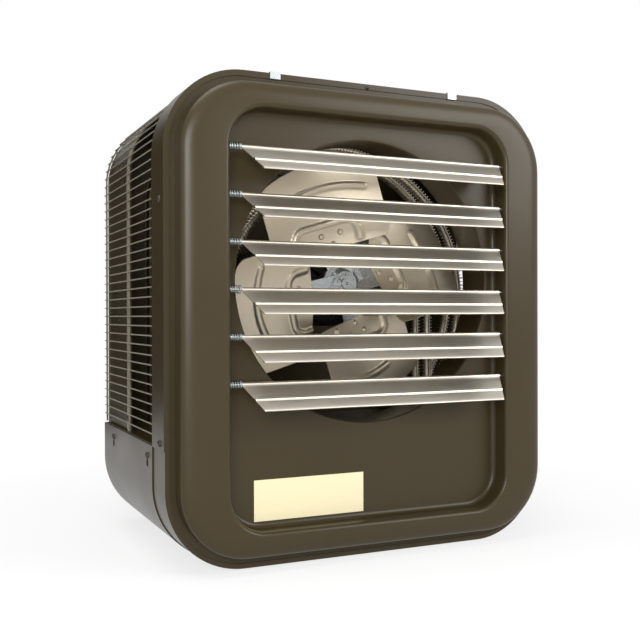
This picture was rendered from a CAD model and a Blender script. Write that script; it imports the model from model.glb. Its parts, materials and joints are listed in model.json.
import json
import math

import bmesh
import bpy
import numpy as np
from bpy.props import FloatProperty, FloatVectorProperty, IntProperty, PointerProperty
from mathutils import Matrix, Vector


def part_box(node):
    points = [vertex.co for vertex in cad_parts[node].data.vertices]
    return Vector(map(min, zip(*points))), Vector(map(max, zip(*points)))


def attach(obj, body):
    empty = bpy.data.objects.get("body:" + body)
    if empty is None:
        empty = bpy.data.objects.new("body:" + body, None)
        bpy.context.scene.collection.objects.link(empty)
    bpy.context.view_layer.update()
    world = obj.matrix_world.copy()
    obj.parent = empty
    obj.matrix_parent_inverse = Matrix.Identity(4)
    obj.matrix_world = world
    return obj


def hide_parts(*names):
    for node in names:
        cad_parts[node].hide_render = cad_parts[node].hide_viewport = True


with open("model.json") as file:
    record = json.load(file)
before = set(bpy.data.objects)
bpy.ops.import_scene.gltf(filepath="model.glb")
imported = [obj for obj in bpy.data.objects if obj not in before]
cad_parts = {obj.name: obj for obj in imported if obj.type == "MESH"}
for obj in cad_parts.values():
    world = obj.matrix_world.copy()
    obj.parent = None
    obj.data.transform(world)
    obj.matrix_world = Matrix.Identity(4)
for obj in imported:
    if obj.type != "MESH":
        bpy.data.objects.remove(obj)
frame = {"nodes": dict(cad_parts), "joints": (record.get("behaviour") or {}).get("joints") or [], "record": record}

bl_info = {
    "name": "Unit heater",
    "version": (1, 0, 0),
    "blender": (4, 5, 0),
    "location": "View3D > Sidebar > Heater",
    "description": "Surfaces, finishes and stage of an electric unit heater",
    "category": "Object",
}

MM = 0.001
NODES = frame["nodes"]
BODY = {node: body for body, group in frame["record"]["behaviour"]["bodies"].items() for node in group}
LOUVRE_PIVOTS = [j["pos_m"] for j in frame["joints"] if j["name"].startswith("louvre")]
FAN_CENTRE = [j["pos_m"] for j in frame["joints"] if j["name"] == "fan_spin"][0]
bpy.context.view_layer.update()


def colour(code):
    """Linear RGBA of an sRGB hex value: c / 12.92 below 0.04045, else ((c + 0.055) / 1.055) ** 2.4."""
    c = np.array([int(code[i:i + 2], 16) / 255 for i in (1, 3, 5)])
    c = np.where(c <= 0.04045, c / 12.92, ((c + 0.055) / 1.055) ** 2.4)
    return (*c.tolist(), 1.0)


# Settings shown in the sidebar
def tint(label, about, code):
    return FloatVectorProperty(name=label, description=about, subtype="COLOR", size=4,
                               min=0.0, max=1.0, default=colour(code))


def length(label, about, mm):
    return FloatProperty(name=label, description=about, default=mm * MM,
                         unit="LENGTH", subtype="DISTANCE")


class HeaterColours(bpy.types.PropertyGroup):
    """Colours of the finishes."""
    enamel: tint("Enamel", "Baked enamel of the cabinet", "#382f1c")
    guard: tint("Guard", "Grey-brown enamel of the wire guard", "#7d7769")
    louvre: tint("Louvres", "Rolled aluminium of the louvres", "#cdc7bb")
    blade: tint("Fan blades", "Rolled aluminium of the fan blades", "#cbc0ac")
    zinc: tint("Zinc", "Bright zinc plate of the small parts", "#b4b9bb")
    sheath: tint("Elements", "Plated steel of the heating elements", "#d0c7b6")
    black: tint("Motor", "Black paint of the motor", "#24221f")
    plate: tint("Name plate", "Cream coating of the bare plate", "#ddd3ad")


class HeaterSizes(bpy.types.PropertyGroup):
    """Sizes of the modelled surfaces."""
    sheet: length("Sheet", "Thickness of the cabinet's steel", 1.2)
    louvre_sheet: length("Louvre sheet", "Thickness of the louvres", 0.8)
    louvre_ridge: length("Louvre ridge", "Height of the stiffening ridge", 1.4)
    blade_sheet: length("Blade sheet", "Thickness of a fan blade", 1.6)
    spring_wire: length("Spring wire", "Radius of the louvre spring's wire", 0.5)
    spring_turns: IntProperty(name="Spring turns", description="Number of turns of a spring", default=5)


# Surfaces
def quads(rows, columns, wrap_rows, wrap_columns):
    """Corners of the faces of a grid, each between a row and the next, a column and the next."""
    i = np.arange(rows * columns).reshape(rows, columns)
    below = np.roll(i, -1, 0)
    faces = np.stack([i, below, np.roll(below, -1, 1), np.roll(i, -1, 1)], -1)
    if not wrap_rows:
        faces = faces[:-1]
    if not wrap_columns:
        faces = faces[:, :-1]
    return faces.reshape(-1, 4)


def piece_from(name, points, faces, body, finish, stands_for=(), smooth=40.0):
    """Object with these points in metres and these faces, smooth up to an angle in degrees."""
    mesh = bpy.data.meshes.new(name)
    mesh.from_pydata(np.asarray(points).reshape(-1, 3).tolist(), [], [list(map(int, f)) for f in faces])
    bm = bmesh.new()
    bm.from_mesh(mesh)
    bmesh.ops.remove_doubles(bm, verts=bm.verts, dist=1e-7)
    bmesh.ops.recalc_face_normals(bm, faces=bm.faces)
    bm.to_mesh(mesh)
    bm.free()
    return placed(name, mesh, body, finish, stands_for, smooth)


def placed(name, mesh, body, finish, stands_for, smooth):
    """Object of a mesh that rides on a body, with its finish and soft shading below an angle."""
    mesh.materials.clear()
    mesh.materials.append(finish)
    mesh.polygons.foreach_set("use_smooth", np.ones(len(mesh.polygons), bool))
    mesh.set_sharp_from_angle(angle=math.radians(smooth))
    piece = bpy.data.objects.new(name, mesh)
    bpy.context.scene.collection.objects.link(piece)
    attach(piece, body)
    if stands_for:
        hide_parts(*stands_for)
    return piece


def dressed(node, finish, smooth=32.0, bevel=0.0):
    """Merged copy of a frame node with its normals weighted by face area, and a fine bevel if asked."""
    source = NODES[node].data
    points, corners = np.zeros(len(source.vertices) * 3), np.zeros(len(source.loops), int)
    source.vertices.foreach_get("co", points)
    source.loops.foreach_get("vertex_index", corners)
    mesh = bpy.data.meshes.new(node + "_surface")
    mesh.from_pydata(points.reshape(-1, 3).tolist(), [], corners.reshape(-1, 3).tolist())
    bm = bmesh.new()
    bm.from_mesh(mesh)
    bmesh.ops.remove_doubles(bm, verts=bm.verts, dist=1e-6)
    bm.to_mesh(mesh)
    bm.free()
    piece = placed(node + "_surface", mesh, BODY[node], finish, (node,), smooth)
    if bevel:
        edge = piece.modifiers.new("Edges", "BEVEL")
        edge.width, edge.segments, edge.limit_method = bevel * MM, 2, "ANGLE"
        edge.angle_limit = math.radians(40)
        edge.harden_normals = False
    normals = piece.modifiers.new("Normals", "WEIGHTED_NORMAL")
    normals.keep_sharp = True
    return piece


def rounded(width, height, radius, arc_steps=14, side_steps=36):
    """Points and outward normals round a rounded rectangle, four arcs joined by four straight sides."""
    angle = np.radians(np.linspace(0, 90, arc_steps))
    bend = np.stack([np.cos(angle), np.sin(angle)], 1)
    turn = np.array([[0, -1], [1, 0]])
    corners = np.array([[1, 1], [-1, 1], [-1, -1], [1, -1]]) * [width / 2 - radius, height / 2 - radius]
    points, normals = [], []
    for k in range(4):
        spin = np.linalg.matrix_power(turn, k)
        n = bend @ spin.T
        p = corners[k] + radius * n
        nxt = corners[(k + 1) % 4] + radius * n[-1]
        share = np.linspace(0, 1, side_steps + 1)[1:-1, None]
        points += [p, p[-1] + (nxt - p[-1]) * share]
        normals += [n, np.repeat(n[-1:], side_steps - 1, 0)]
    return np.concatenate(points), np.concatenate(normals)


def arc(cx, cy, radius, start, end, steps):
    """Points of an arc: centre plus radius times (cos, sin)."""
    a = np.radians(np.linspace(start, end, steps))
    return np.stack([cx + radius * np.cos(a), cy + radius * np.sin(a)], 1)


def tube(path, normal, radius, sides):
    """Grid round a path: point + radius * (cos * normal + sin * tangent x normal)."""
    tangent = np.gradient(path, axis=0)
    tangent /= np.linalg.norm(tangent, axis=1, keepdims=True)
    side = np.cross(tangent, normal)
    side /= np.linalg.norm(side, axis=1, keepdims=True)
    normal = np.cross(side, tangent)
    a = np.linspace(0, 2 * np.pi, sides, endpoint=False)
    return path[:, None] + radius[:, None, None] * (
        np.cos(a)[None, :, None] * normal[:, None] + np.sin(a)[None, :, None] * side[:, None])


# Finishes
def add(tree, kind, inputs=(), **settings):
    """Adds a node: settings are its own, inputs are values or sockets by name or number."""
    node = tree.nodes.new(kind)
    for key, value in settings.items():
        setattr(node, key, value)
    for key, value in dict(inputs).items():
        if isinstance(value, bpy.types.NodeSocket):
            tree.links.new(value, node.inputs[key])
        else:
            node.inputs[key].default_value = value
    return node


def finish_of(name, **sockets):
    """New material, its tree, its shader and object coordinates."""
    material = bpy.data.materials.new(name)
    material.use_nodes = True
    tree = material.node_tree
    tree.nodes.clear()
    shader = add(tree, "ShaderNodeBsdfPrincipled", {k.replace("_", " "): v for k, v in sockets.items()})
    add(tree, "ShaderNodeOutputMaterial", {"Surface": shader.outputs[0]})
    place = add(tree, "ShaderNodeTexCoord").outputs["Object"]
    return material, tree, shader, place


def baked_enamel(tone):
    """Bronze enamel, sprayed and baked on drawn steel: soft gloss with a faint orange peel."""
    m, tree, shader, place = finish_of("bronze_baked_enamel", Roughness=0.3, Specular_IOR_Level=0.25)
    cloud = add(tree, "ShaderNodeTexNoise", {"Vector": place, "Scale": 7.0, "Detail": 3.0})
    mix = add(tree, "ShaderNodeMix", {0: cloud.outputs[0], 6: [c * 0.94 for c in tone[:3]] + [1],
                                      7: [min(1, c * 1.06) for c in tone[:3]] + [1]}, data_type="RGBA")
    tree.links.new(mix.outputs[2], shader.inputs["Base Color"])
    haze = add(tree, "ShaderNodeMapRange", {0: cloud.outputs[0], 1: 0.3, 2: 0.7, 3: 0.26, 4: 0.34})
    tree.links.new(haze.outputs[0], shader.inputs["Roughness"])
    # Orange peel is about 2 mm across and a few micrometres deep
    peel = add(tree, "ShaderNodeTexNoise", {"Vector": place, "Scale": 420.0, "Detail": 2.0})
    relief = add(tree, "ShaderNodeBump", {"Height": peel.outputs[0], "Strength": 0.12,
                                          "Distance": 0.05 * MM})
    tree.links.new(relief.outputs[0], shader.inputs["Normal"])
    return m


def guard_enamel(tone):
    """Grey-brown dipped enamel of the wire guard: satin, a little thicker at the welds."""
    m, tree, shader, place = finish_of("grey_dipped_enamel", Roughness=0.4, Specular_IOR_Level=0.3)
    cloud = add(tree, "ShaderNodeTexNoise", {"Vector": place, "Scale": 60.0, "Detail": 3.0})
    mix = add(tree, "ShaderNodeMix", {0: cloud.outputs[0], 6: [c * 0.8 for c in tone[:3]] + [1],
                                      7: [c * 1.25 for c in tone[:3]] + [1]}, data_type="RGBA")
    tree.links.new(mix.outputs[2], shader.inputs["Base Color"])
    relief = add(tree, "ShaderNodeBump", {"Height": cloud.outputs[0], "Strength": 0.15,
                                          "Distance": 0.1 * MM})
    tree.links.new(relief.outputs[0], shader.inputs["Normal"])
    return m


def rolled_aluminium(name, tone, rough, along, deep):
    """Mill-finish aluminium sheet: fine rolling lines along one axis, 0.4 mm wide so that they show."""
    m, tree, shader, place = finish_of(name, Metallic=1.0, Roughness=rough)
    squeeze = [2500.0 if axis != along else 25.0 for axis in "XYZ"]
    turned = add(tree, "ShaderNodeMapping", {"Vector": place, "Scale": squeeze})
    lines = add(tree, "ShaderNodeTexNoise", {"Vector": turned.outputs[0], "Scale": 1.0, "Detail": 2.0})
    cloud = add(tree, "ShaderNodeTexNoise", {"Vector": place, "Scale": 18.0, "Detail": 4.0})
    mix = add(tree, "ShaderNodeMix", {0: cloud.outputs[0], 6: [c * 0.86 for c in tone[:3]] + [1],
                                      7: [min(1, c * 1.1) for c in tone[:3]] + [1]}, data_type="RGBA")
    tree.links.new(mix.outputs[2], shader.inputs["Base Color"])
    haze = add(tree, "ShaderNodeMapRange", {0: lines.outputs[0], 1: 0.3, 2: 0.7,
                                            3: rough - 0.06, 4: rough + 0.08})
    tree.links.new(haze.outputs[0], shader.inputs["Roughness"])
    relief = add(tree, "ShaderNodeBump", {"Height": lines.outputs[0], "Strength": deep,
                                          "Distance": 0.05 * MM})
    tree.links.new(relief.outputs[0], shader.inputs["Normal"])
    return m


def zinc_plate(tone):
    """Bright zinc on steel: bluish, with a crystalline mottle about 1 mm across."""
    m, tree, shader, place = finish_of("bright_zinc_plate", Metallic=1.0, Roughness=0.28)
    grains = add(tree, "ShaderNodeTexVoronoi", {"Vector": place, "Scale": 700.0})
    mix = add(tree, "ShaderNodeMix", {0: grains.outputs[0], 6: tone[:],
                                      7: [c * 0.82 for c in tone[:3]] + [1]}, data_type="RGBA")
    tree.links.new(mix.outputs[2], shader.inputs["Base Color"])
    haze = add(tree, "ShaderNodeMapRange", {0: grains.outputs[0], 1: 0.0, 2: 1.0, 3: 0.22, 4: 0.36})
    tree.links.new(haze.outputs[0], shader.inputs["Roughness"])
    return m


def sheath_steel(tone):
    """Plated steel of the elements, dulled by heat: darker patches along the tubes."""
    m, tree, shader, place = finish_of("heat_dulled_steel", Metallic=0.9, Roughness=0.45)
    patches = add(tree, "ShaderNodeTexNoise", {"Vector": place, "Scale": 35.0, "Detail": 4.0})
    mix = add(tree, "ShaderNodeMix", {0: patches.outputs[0], 6: [c * 0.6 for c in tone[:3]] + [1],
                                      7: [min(1, c * 1.2) for c in tone[:3]] + [1]}, data_type="RGBA")
    tree.links.new(mix.outputs[2], shader.inputs["Base Color"])
    relief = add(tree, "ShaderNodeBump", {"Height": patches.outputs[0], "Strength": 0.2,
                                          "Distance": 0.1 * MM})
    tree.links.new(relief.outputs[0], shader.inputs["Normal"])
    return m


def satin_paint(name, tone, rough, grain):
    """Sprayed paint or moulded plastic: satin, with a fine texture of a given grain in millimetres."""
    m, tree, shader, place = finish_of(name, Base_Color=tone, Roughness=rough, IOR=1.48)
    texture = add(tree, "ShaderNodeTexNoise", {"Vector": place, "Scale": 1000.0 / grain, "Detail": 2.0})
    relief = add(tree, "ShaderNodeBump", {"Height": texture.outputs[0], "Strength": 0.15,
                                          "Distance": 0.08 * MM})
    tree.links.new(relief.outputs[0], shader.inputs["Normal"])
    return m


def copper_alloy():
    """Copper windings, bronze bearings and brass lugs: warm metal, slightly tarnished."""
    m, tree, shader, place = finish_of("tarnished_copper_alloy", Metallic=1.0, Roughness=0.4)
    patches = add(tree, "ShaderNodeTexNoise", {"Vector": place, "Scale": 90.0, "Detail": 3.0})
    mix = add(tree, "ShaderNodeMix", {0: patches.outputs[0], 6: colour("#7a4a28"),
                                      7: colour("#c58a58")}, data_type="RGBA")
    tree.links.new(mix.outputs[2], shader.inputs["Base Color"])
    return m


FINISHES = {}


def finishes():
    """The finishes by the record's slot, made once from the settings."""
    if not FINISHES:
        c = bpy.context.scene.heater_colours
        FINISHES.update(
            enamel=baked_enamel(c.enamel[:]),
            guard=guard_enamel(c.guard[:]),
            bright_aluminium=rolled_aluminium("rolled_louvre_aluminium", c.louvre[:], 0.4, "X", 0.1),
            fan_aluminium=rolled_aluminium("rolled_fan_aluminium", c.blade[:], 0.38, "Z", 0.06),
            zinc=zinc_plate(c.zinc[:]),
            sheath_steel=sheath_steel(c.sheath[:]),
            black_steel=satin_paint("black_sprayed_paint", c.black[:], 0.4, 1.5),
            cream=satin_paint("cream_coated_plate", c.plate[:], 0.45, 3.0),
            ceramic=satin_paint("glazed_ceramic", colour("#e4dfd2"), 0.25, 4.0),
            phenolic=satin_paint("moulded_phenolic", colour("#26221e"), 0.45, 1.0),
            copper=copper_alloy())
    return FINISHES


# Pieces
class HEATER_OT_front_panel(bpy.types.Operator):
    """Drawn front panel with its rolled edge, recess and round outlet"""
    bl_idname = "heater.front_panel"
    bl_label = "Front panel"

    def execute(self, context):
        finish = finishes()
        t = context.scene.heater_sizes.sheet / MM
        lo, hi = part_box("front_panel")
        front, mid = lo.y / MM, (lo.z + hi.z) / 2 / MM
        # Width, height and corner radius of the panel, of its rear flange and of its recess
        outer, n_outer = rounded(457, 511, 75.25)
        flange, n_flange = rounded(477.8, 538.8, 87.4)
        recess, n_recess = rounded(351, 456, 42)
        flange_back, recess_back = 28.4, 25
        centre = np.array([0, FAN_CENTRE[2] / MM - mid])
        spoke = recess - centre
        spoke /= np.linalg.norm(spoke, axis=1, keepdims=True)

        def ring(base, normal, across, depth):
            """Loop at a distance across from an outline, depth behind the front face."""
            p = base + normal * across
            return np.stack([p[:, 0], np.full(len(p), front + depth), mid + p[:, 1]], 1)

        def half(off):
            """Loops of one face of the sheet, off is how far behind the front face it lies."""
            roll_w, roll_d, lip, root, rim = 20.0, 8.0, 5.0, 6.0, 2.0
            outlet, ring_depth = 162.0, 46.0
            loops = [ring(flange, n_flange, 0, flange_back - t + off)]
            loops.append(ring(outer, n_outer, -off, flange_back - t + off))
            # The outer edge rolls over as a quarter ellipse, which carries the broad highlight
            for x, d in arc(0, 0, 1, 0, -90, 16):
                loops.append(ring(outer, n_outer, (roll_w - off) * x - roll_w,
                                  (roll_d - off) * d + roll_d))
            for x, d in arc(lip, lip, lip - off, -90, -180, 9):
                loops.append(ring(recess, n_recess, x, d))
            for x, d in arc(-root, recess_back - root, root + off, 0, 90, 9):
                loops.append(ring(recess, n_recess, x, d))
            inner = recess - n_recess * root
            for share in (0.3, 0.65):
                p = inner * (1 - share) + (centre + spoke * (outlet + rim)) * share
                loops.append(ring(p, p * 0, 0, recess_back + off))
            for x, d in arc(rim, recess_back + rim, rim - off, -90, -180, 8):
                loops.append(ring(centre + spoke * outlet, spoke, x, d))
            loops.append(ring(centre + spoke * outlet, spoke, off, recess_back + rim + ring_depth))
            return loops

        loops = half(0) + half(t)[::-1]
        grid = np.stack(loops, 1) * MM
        rows, columns = grid.shape[:2]
        piece_from("front_panel_surface", grid, quads(rows, columns, True, True), "cabinet",
                   finish["enamel"], ("front_panel",), 50)
        return {"FINISHED"}


class HEATER_OT_cabinet(bpy.types.Operator):
    """Collar, bottom pan, rear panel, divider plate and the bare plate"""
    bl_idname = "heater.cabinet"
    bl_label = "Cabinet sheets"

    def execute(self, context):
        finish = finishes()
        for node in ("collar", "bottom_pan", "rear_panel", "divider_plate"):
            dressed(node, finish["enamel"])
        dressed("name_plate", finish["cream"], bevel=0.15)
        return {"FINISHED"}


class HEATER_OT_guard(bpy.types.Operator):
    """Wire guard over both sides and the top"""
    bl_idname = "heater.guard"
    bl_label = "Wire guard"

    def execute(self, context):
        finish = finishes()
        guard = dressed("wire_guard", finish["guard"], 50)
        # The drawn wires are thinner than the solid's, by this much all round
        thin = guard.modifiers.new("Thinner", "DISPLACE")
        thin.strength, thin.mid_level = -0.45 * MM, 0.0
        return {"FINISHED"}


class HEATER_OT_louvres(bpy.types.Operator):
    """Louvres rolled round their rods, with a ridge, a hem and mitred ends"""
    bl_idname = "heater.louvres"
    bl_label = "Louvres"

    def execute(self, context):
        finish = finishes()
        s = context.scene.heater_sizes
        t, ridge = s.louvre_sheet / MM, s.louvre_ridge / MM
        chord, tilt, bore, mitre = 40.6, math.radians(39.6), 1.62, 14.5
        top, ridge_w, web_start, fold_w = 0.59 * chord, 3.8, 3.4, 0.6
        # Curl from under the rod round its front and over it, then out along the web
        curl = arc(0, 0, bore + t / 2, 285, 22, 36)
        foot = ridge_w / 2
        x = np.concatenate([np.linspace(web_start, top - foot - 0.3, 8),
                            np.linspace(top - foot, top + foot, 13),
                            np.linspace(top + foot + 0.3, chord - fold_w, 6)])
        # Web and lip share one plane; the ridge is a half wave across it
        web = np.stack([x, 0.1 * (chord - x) / (chord - web_start)
                        + ridge * np.cos(np.pi * np.clip((x - top) / ridge_w, -0.5, 0.5)) ** 1.5], 1)
        fold = arc(chord - fold_w, -t * 0.55, t * 0.55, 90, -90, 6)[1:]
        # The hem lies 0.22 mm and 0.42 mm off the lip, so a dark line shows between them
        hem = np.array([[chord - 2, -t * 1.1 + 0.22], [chord - 3.4, -t * 1.1 + 0.42]])
        line = np.concatenate([curl, web, fold, hem])
        tangent = np.gradient(line, axis=0)
        tangent /= np.linalg.norm(tangent, axis=1, keepdims=True)
        normal = np.stack([-tangent[:, 1], tangent[:, 0]], 1)
        width = t / 2 * np.ones(len(line))
        width[-len(fold) - 2:] = t * 0.45
        loop = np.concatenate([line + normal * width[:, None], (line - normal * width[:, None])[::-1]])
        lo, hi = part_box("louvre_1")
        left, right = lo.x / MM, hi.x / MM
        stations = np.array([0, 0.002, 0.02, *np.linspace(0.05, 0.95, 19), 0.98, 0.998, 1])
        # The mitre starts behind the curl and takes its full width at the hem
        cut_start = 2.5
        cut = mitre * np.clip((loop[:, 0] - cut_start) / (chord - cut_start), 0, 1)
        x = (left + cut)[None] + stations[:, None] * (right - left - 2 * cut)[None]
        c, a = loop[:, 0], loop[:, 1]
        forward = c * math.cos(tilt) + a * math.sin(tilt)
        up = -c * math.sin(tilt) + a * math.cos(tilt)
        bow_height = 0.12
        for i, (_, py, pz) in enumerate(LOUVRE_PIVOTS):
            # Each sheet bows by up to 0.12 mm at its hem, so reflections differ
            wave = bow_height * np.sin(np.pi * stations * (1 + i % 3) + i)
            bow = wave[:, None] * np.clip(c / chord, 0, 1)[None]
            grid = np.stack([x * MM, py - (forward[None] + 0 * x) * MM,
                             pz + (up[None] + bow) * MM], -1)
            rows, columns = grid.shape[:2]
            faces = quads(rows, columns, False, True).tolist()
            # Ends: strips across the sheet between its two faces
            half = columns // 2
            for row in (0, rows - 1):
                k = row * columns
                faces += [[k + j, k + j + 1, k + columns - 2 - j, k + columns - 1 - j]
                          for j in range(half - 1)]
            piece_from("louvre_%d_surface" % (i + 1), grid, faces, "louvre_%d" % (i + 1),
                       finish["bright_aluminium"], ("louvre_%d" % (i + 1),), 38)
        return {"FINISHED"}


class HEATER_OT_springs(bpy.types.Operator):
    """Wound springs and rods of the louvres"""
    bl_idname = "heater.springs"
    bl_label = "Louvre springs"

    def execute(self, context):
        finish = finishes()
        s = context.scene.heater_sizes
        lo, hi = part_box("louvre_springs")
        r, turns, outer = s.spring_wire, s.spring_turns + 0.5, 4.6 * MM
        # Angle runs evenly; the lead is closed up at both ends, where the wire lies against itself
        u = np.linspace(0, 1, int(turns * 22))
        a = 2 * np.pi * turns * u
        closed, span = 0.9, hi.x - lo.x
        rise = np.interp(u * turns, [0, closed, turns - closed, turns],
                         [0, 2.2 * r, span - 4.2 * r, span - 2 * r])
        mean = outer - r
        points, faces, count = [], [], 0
        for _, py, pz in LOUVRE_PIVOTS:
            path = np.stack([lo.x + r + rise, py + mean * np.cos(a), pz + mean * np.sin(a)], 1)
            out = np.stack([0 * a, np.cos(a), np.sin(a)], 1)
            radius = r * np.sqrt(np.clip(np.minimum(u, 1 - u) * 400, 0.05, 1))
            grid = tube(path, out, radius, 10)
            rows, columns = grid.shape[:2]
            faces += (quads(rows, columns, False, True) + count).tolist()
            faces += [list(range(count, count + columns)),
                      list(range(count + (rows - 1) * columns, count + rows * columns))]
            points.append(grid.reshape(-1, 3))
            count += rows * columns
        piece_from("louvre_springs_surface", np.concatenate(points), faces, "cabinet", finish["zinc"],
                   ("louvre_springs",), 60)
        dressed("louvre_rods", finish["zinc"], bevel=0.3)
        return {"FINISHED"}


class HEATER_OT_fan(bpy.types.Operator):
    """Cambered fan blades with pressed ribs, spider, rivets and shaft"""
    bl_idname = "heater.fan"
    bl_label = "Fan"

    def outline(self):
        """Four sides of a blade in its own plane: root, leading side, tip and trailing side."""
        tip, big, small, corner = 149.0, 14.0, 4.0, 10.0
        lead_w, trail_w, root_x, step, half = 64.0, 74.0, 44.0, 18.0, 10.0
        c1 = np.array([math.sqrt((tip - big) ** 2 - (lead_w - big) ** 2), big - lead_w])
        c2 = np.array([math.sqrt((tip - small) ** 2 - (trail_w - small) ** 2), trail_w - small])
        b1, b2 = (math.degrees(math.atan2(c[1], c[0])) for c in (c1, c2))
        m1, m2 = (b1 - 90) / 2, (b2 + 90) / 2
        bend = arc(root_x + corner, corner - lead_w, corner, 180, 270, 13)
        root = np.concatenate([bend[6::-1], [[root_x, half], [root_x + step, trail_w]]])
        lead = np.concatenate([bend[6:], arc(*c1, big, -90, m1, 8)])
        end = np.concatenate([arc(*c1, big, m1, b1, 8), arc(0, 0, tip, b1, b2, 30)[1:-1],
                              arc(*c2, small, b2, m2, 6)])
        trail = np.concatenate([[[root_x + step, trail_w]], arc(*c2, small, 90, m2, 6)])
        return root, lead, end, trail

    def evenly(self, line, count):
        """Points at equal steps along a line."""
        at = np.concatenate([[0], np.cumsum(np.linalg.norm(np.diff(line, axis=0), axis=1))])
        s = np.linspace(0, at[-1], count)
        return np.stack([np.interp(s, at, line[:, k]) for k in (0, 1)], 1)

    def execute(self, context):
        finish = finishes()
        t = context.scene.heater_sizes.blade_sheet
        nu, nv = 84, 76
        counts = (nv, nu, nv, nu)
        root, lead, end, trail = (self.evenly(line, n) for line, n in zip(self.outline(), counts))
        u, v = np.linspace(0, 1, nu)[:, None, None], np.linspace(0, 1, nv)[None, :, None]
        # Blend of the four sides: opposite sides mixed both ways, less the mixed corners
        p = (lead[:, None] * (1 - v) + trail[:, None] * v + root[None] * (1 - u) + end[None] * u
             - root[0] * (1 - u) * (1 - v) - root[-1] * (1 - u) * v
             - end[0] * u * (1 - v) - end[-1] * u * v)
        x, y = p[..., 0], p[..., 1]
        camber, pitch = 240.0, math.radians(18)
        yc, zc = camber * math.sin(pitch), camber * math.cos(pitch)
        z = zc - np.sqrt(camber ** 2 - (y - yc) ** 2)

        rib_h, rib_half_w = 3.0, 4.6
        # Distance in the plane to the arc of the tip rib, which ends at two angles
        tip_rib_r, lead_end, trail_end = 118, math.radians(24), math.radians(16)
        a = np.clip(np.arctan2(y, x), -lead_end, trail_end)
        tip_rib = np.hypot(x - tip_rib_r * np.cos(a), y - tip_rib_r * np.sin(a))
        # Distance to the rib round the arm's end, the outline of a rounded rectangle open at the root
        low, mid, reach, top, bend = 50, 6.5, 37.5, 75.0, 14.0
        dx, dy = x - (top - bend), np.abs(y - mid) - (reach - bend)
        outside = np.hypot(np.maximum(dx, 0), np.maximum(dy, 0))
        eye_rib = np.abs(outside + np.minimum(np.maximum(dx, dy), 0) - bend)
        eye_rib = np.where(x < low, np.hypot(eye_rib, low - x), eye_rib)
        rib = np.maximum(1 - (tip_rib / rib_half_w) ** 2, 1 - (eye_rib / rib_half_w) ** 2)
        z = z + rib_h * np.clip(rib, 0, 1) ** 0.8
        blade_n, first = 4, 17
        for i in range(blade_n):
            turn = math.radians(first + 360 / blade_n * i)
            gx = x * math.cos(turn) - y * math.sin(turn)
            gz = x * math.sin(turn) + y * math.cos(turn)
            grid = np.array(FAN_CENTRE) + np.stack([gx, -z, gz], -1) * MM
            blade = piece_from("fan_blade_%d_surface" % (i + 1), grid, quads(nu, nv, False, False),
                               "fan", finish["fan_aluminium"], ("fan_blade_%d" % (i + 1),), 60)
            # The open sheet is turned to face the front before it gets its thickness
            normals = np.zeros(len(blade.data.polygons) * 3)
            blade.data.polygons.foreach_get("normal", normals)
            if normals.reshape(-1, 3)[:, 1].mean() > 0:
                blade.data.flip_normals()
            wall = blade.modifiers.new("Sheet", "SOLIDIFY")
            wall.thickness, wall.offset = t, -1.0
            edge = blade.modifiers.new("Edges", "BEVEL")
            edge.width, edge.segments, edge.limit_method = 0.3 * MM, 2, "ANGLE"
            edge.angle_limit = math.radians(60)
        dressed("fan_spider", finish["zinc"], 30, bevel=0.4)
        dressed("fan_rivets", finish["fan_aluminium"], 40)
        dressed("motor_shaft", finish["zinc"], 40)
        return {"FINISHED"}


class HEATER_OT_elements(bpy.types.Operator):
    """Heating elements with their fins, bushings and studs"""
    bl_idname = "heater.elements"
    bl_label = "Heating elements"

    def route(self, ring, low, y):
        """Middle line of an element: up a leg, over the arc and down the other leg."""
        high, inner_r, outer_r, bend_r = FAN_CENTRE[2] / MM - 15, 139, 180, 30
        if ring.startswith("inner"):
            over = arc(0, high, inner_r, 0, 180, 90)
        else:
            # A bend turns each end of the outer arc, 30 degrees below its centre, into its leg
            turn_r, drop = outer_r + bend_r, math.radians(30)
            bend = arc(turn_r * math.cos(drop), high - turn_r * math.sin(drop), bend_r, 180, 150, 8)
            over = np.concatenate([bend, arc(0, high, outer_r, -30, 210, 120)[1:-1],
                                   (bend * [-1, 1])[::-1]])
        ends = over[[0, -1]] * [1, 0] + [0, low]
        line = np.concatenate([ends[:1], over, ends[1:]])
        return np.stack([line[:, 0], np.full(len(line), y), line[:, 1]], 1)

    def execute(self, context):
        finish = finishes()
        pitch, steps, fin_root, fin_edge, half = 4.3, 18, 3.95, 6.6, 0.3
        for ring in ("outer_front", "outer_rear", "inner_front", "inner_rear"):
            dressed("element_" + ring, finish["sheath_steel"], 40)
            lo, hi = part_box("fins_" + ring)
            route = self.route(ring, lo.z / MM, (lo.y + hi.y) / 2 / MM)
            # The fin is one strip wound on edge round the sheath: angle = 2 pi * length / pitch
            at = np.concatenate([[0], np.cumsum(np.linalg.norm(np.diff(route, axis=0), axis=1))])
            s = np.arange(0, at[-1], pitch / steps)
            path = np.stack([np.interp(s, at, route[:, k]) for k in range(3)], 1)
            along = np.gradient(path, axis=0)
            along /= np.linalg.norm(along, axis=1, keepdims=True)
            across = np.cross(along, [0, 1.0, 0])
            a = (2 * np.pi * s / pitch)[:, None]
            out = np.cos(a) * across + np.sin(a) * np.array([[0, 1.0, 0]])
            section = ((fin_root, -half), (fin_edge, -half), (fin_edge, half), (fin_root, half))
            grid = np.stack([path + out * r + along * h for r, h in section], 1) * MM
            faces = quads(len(s), 4, False, True).tolist()
            faces += [[0, 1, 2, 3], [4 * len(s) - k for k in (1, 2, 3, 4)]]
            piece_from("fins_%s_surface" % ring, grid, faces, "cabinet", finish["sheath_steel"],
                       ("fins_" + ring,), 40)
        dressed("element_bushings", finish["zinc"], 40)
        dressed("element_studs", finish["ceramic"], 40)
        return {"FINISHED"}


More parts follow.
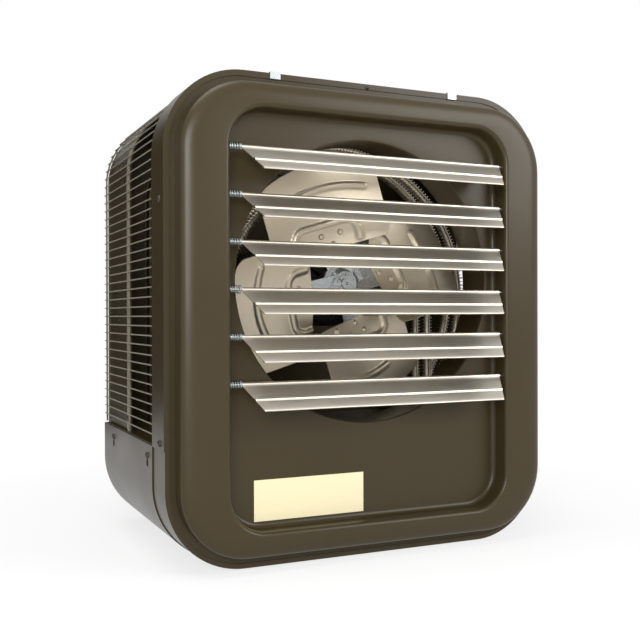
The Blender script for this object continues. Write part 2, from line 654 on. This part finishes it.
class HEATER_OT_motor(bpy.types.Operator):
    """Motor and its bracket"""
    bl_idname = "heater.motor"
    bl_label = "Motor"

    def execute(self, context):
        finish = finishes()
        for node in ("motor_shell", "motor_front_bell", "motor_rear_bell",
                     "motor_bracket", "motor_rotor"):
            dressed(node, finish["black_steel"], 35)
        for node, slot in (("motor_stator", "sheath_steel"), ("motor_bearings", "copper"),
                           ("motor_bolts", "zinc")):
            dressed(node, finish[slot], 40)
        return {"FINISHED"}


class HEATER_OT_fasteners(bpy.types.Operator):
    """Screws and hanger nuts"""
    bl_idname = "heater.fasteners"
    bl_label = "Fasteners"

    def execute(self, context):
        finish = finishes()
        for node in ("collar_screws", "top_screw", "pan_screws", "rear_screws", "bracket_screws"):
            dressed(node, finish["black_steel"], 30)
        dressed("hanger_nuts", finish["zinc"], 40, bevel=0.3)
        return {"FINISHED"}


class HEATER_OT_controls(bpy.types.Operator):
    """Controls under the divider plate"""
    bl_idname = "heater.controls"
    bl_label = "Controls"

    def execute(self, context):
        finish = finishes()
        for node, slot in (("thermal_cutout", "phenolic"), ("fan_relay", "ceramic"),
                           ("contactor", "phenolic"), ("transformer", "copper"),
                           ("terminal_block", "phenolic"), ("ground_lug", "copper")):
            dressed(node, finish[slot], 35, bevel=0.4)
        return {"FINISHED"}


class HEATER_OT_stage(bpy.types.Operator):
    """Floor, white background, lamps and the camera at the photograph's view"""
    bl_idname = "heater.stage"
    bl_label = "Stage"

    def execute(self, context):
        scene = context.scene
        mesh = bpy.data.meshes.new("floor")
        mesh.from_pydata([(-30, -30, 0), (30, -30, 0), (30, 30, 0), (-30, 30, 0)], [], [(0, 1, 2, 3)])
        floor = bpy.data.objects.new("floor", mesh)
        floor.location.z = -0.5 * MM
        scene.collection.objects.link(floor)
        material = bpy.data.materials.new("pale_floor")
        material.use_nodes = True
        tree = material.node_tree
        tree.nodes.clear()
        ray = add(tree, "ShaderNodeLightPath")
        seen = add(tree, "ShaderNodeMath", {0: ray.outputs["Is Camera Ray"],
                                            1: ray.outputs["Is Glossy Ray"]}, operation="MAXIMUM")
        seen = add(tree, "ShaderNodeMath", {0: seen.outputs[0],
                                            1: ray.outputs["Is Transmission Ray"]}, operation="MAXIMUM")
        # White to the eye; the shadow shows under the heater and fades out by 0.7 m
        away = add(tree, "ShaderNodeVectorMath", {0: add(tree, "ShaderNodeTexCoord").outputs["Object"]},
                   operation="LENGTH")
        fade = add(tree, "ShaderNodeMapRange", {0: away.outputs["Value"], 1: 0.3, 2: 0.7,
                                                3: 0.75, 4: 1.0})
        part = add(tree, "ShaderNodeMath", {0: seen.outputs[0], 1: fade.outputs[0]},
                   operation="MULTIPLY")
        matt = add(tree, "ShaderNodeBsdfDiffuse", {"Color": (0.92, 0.92, 0.92, 1)})
        white = add(tree, "ShaderNodeEmission", {"Color": (1, 1, 1, 1), "Strength": 1.0})
        mix = add(tree, "ShaderNodeMixShader", {0: part.outputs[0], 1: matt.outputs[0],
                                                2: white.outputs[0]})
        add(tree, "ShaderNodeOutputMaterial", {"Surface": mix.outputs[0]})
        mesh.materials.append(material)

        world = bpy.data.worlds.new("studio")
        scene.world = world
        world.use_nodes = True
        tree = world.node_tree
        tree.nodes.clear()
        ray = add(tree, "ShaderNodeLightPath")
        dim = add(tree, "ShaderNodeBackground", {"Color": (1, 1, 1, 1), "Strength": 0.4})
        lit = add(tree, "ShaderNodeBackground", {"Color": (1, 1, 1, 1), "Strength": 1.0})
        seen = add(tree, "ShaderNodeMath", {0: ray.outputs["Is Camera Ray"],
                                            1: ray.outputs["Is Glossy Ray"]}, operation="MAXIMUM")
        seen = add(tree, "ShaderNodeMath", {0: seen.outputs[0],
                                            1: ray.outputs["Is Transmission Ray"]}, operation="MAXIMUM")
        mix = add(tree, "ShaderNodeMixShader", {0: seen.outputs[0], 1: dim.outputs[0],
                                                2: lit.outputs[0]})
        add(tree, "ShaderNodeOutputWorld", {"Surface": mix.outputs[0]})

        def lamp(name, place, aim, size, power):
            """Square lamp of a size in metres that faces a point."""
            data = bpy.data.lights.new(name, "AREA")
            data.shape, data.size, data.energy = "SQUARE", size, power
            obj = bpy.data.objects.new(name, data)
            scene.collection.objects.link(obj)
            way = np.array(aim, float) - place
            way /= np.linalg.norm(way)
            side = np.cross(way, [0, 0, 1.0])
            side /= np.linalg.norm(side)
            up = np.cross(side, way)
            obj.matrix_world = Matrix([[side[k], up[k], -way[k], place[k]] for k in range(3)]
                                      + [[0, 0, 0, 1]])

        lamp("lamp_right", (1.6, -2.0, 1.3), (0, -0.1, 0.27), 1.3, 34)
        lamp("lamp_top", (-0.6, -0.35, 2.3), (0, 0, 0.3), 1.3, 24)
        lamp("lamp_front", (-1.1, -2.0, 0.8), (0, 0, 0.3), 0.9, 32)

        # Dark card behind the left side, out of the camera's sight: the side mirrors it, so its
        # enamel keeps its colour instead of showing the white surroundings
        mesh = bpy.data.meshes.new("dark_card")
        left, right, back, low, high = -4, -0.3, 1.2, -0.2, 2.0
        mesh.from_pydata([(left, back, low), (right, back, low), (right, back, high),
                          (left, back, high)], [], [(0, 1, 2, 3)])
        card = bpy.data.objects.new("dark_card", mesh)
        scene.collection.objects.link(card)
        card.visible_camera = card.visible_diffuse = False
        card.visible_transmission = card.visible_shadow = False
        material = bpy.data.materials.new("dark_cloth")
        material.use_nodes = True
        material.node_tree.nodes.clear()
        matt = add(material.node_tree, "ShaderNodeBsdfDiffuse", {"Color": (0.02, 0.02, 0.02, 1)})
        add(material.node_tree, "ShaderNodeOutputMaterial", {"Surface": matt.outputs[0]})
        mesh.materials.append(material)

        data = bpy.data.cameras.new("camera")
        data.sensor_width, data.lens = 36.0, 51.25
        data.clip_start, data.clip_end = 0.02, 100
        camera = bpy.data.objects.new("camera", data)
        scene.collection.objects.link(camera)
        forward = np.array([0.4193, 0.9079, -0.0040])
        forward /= np.linalg.norm(forward)
        up = np.array([0.0039, 0.0026, 1.0])
        up -= forward * (up @ forward)
        up /= np.linalg.norm(up)
        side = np.cross(forward, up)
        place = (-0.4926, -1.0897, 0.2757)
        camera.matrix_world = Matrix([[side[k], up[k], -forward[k], place[k]] for k in range(3)]
                                     + [[0, 0, 0, 1]])
        scene.camera = camera
        scene.view_settings.view_transform = "Standard"
        return {"FINISHED"}


class HEATER_PT_panel(bpy.types.Panel):
    """Lists the heater's settings and pieces in the sidebar"""
    bl_label = "Unit heater"
    bl_space_type = "VIEW_3D"
    bl_region_type = "UI"
    bl_category = "Heater"

    def draw(self, context):
        for group in (context.scene.heater_sizes, context.scene.heater_colours):
            for key in group.bl_rna.properties.keys():
                if key not in ("name", "rna_type"):
                    self.layout.prop(group, key)
        for operator in OPERATORS:
            self.layout.operator(operator.bl_idname)


OPERATORS = (HEATER_OT_front_panel, HEATER_OT_cabinet, HEATER_OT_guard, HEATER_OT_louvres,
             HEATER_OT_springs, HEATER_OT_fan, HEATER_OT_elements, HEATER_OT_motor,
             HEATER_OT_fasteners, HEATER_OT_controls, HEATER_OT_stage)
CLASSES = (HeaterColours, HeaterSizes, *OPERATORS, HEATER_PT_panel)


def register():
    for cls in CLASSES:
        bpy.utils.register_class(cls)
    bpy.types.Scene.heater_colours = PointerProperty(type=HeaterColours)
    bpy.types.Scene.heater_sizes = PointerProperty(type=HeaterSizes)


def unregister():
    del bpy.types.Scene.heater_sizes
    del bpy.types.Scene.heater_colours
    for cls in reversed(CLASSES):
        bpy.utils.unregister_class(cls)


def main():
    register()
    for operator in OPERATORS:
        group, name = operator.bl_idname.split(".")
        getattr(getattr(bpy.ops, group), name)()


if __name__ == "__main__":
    main()
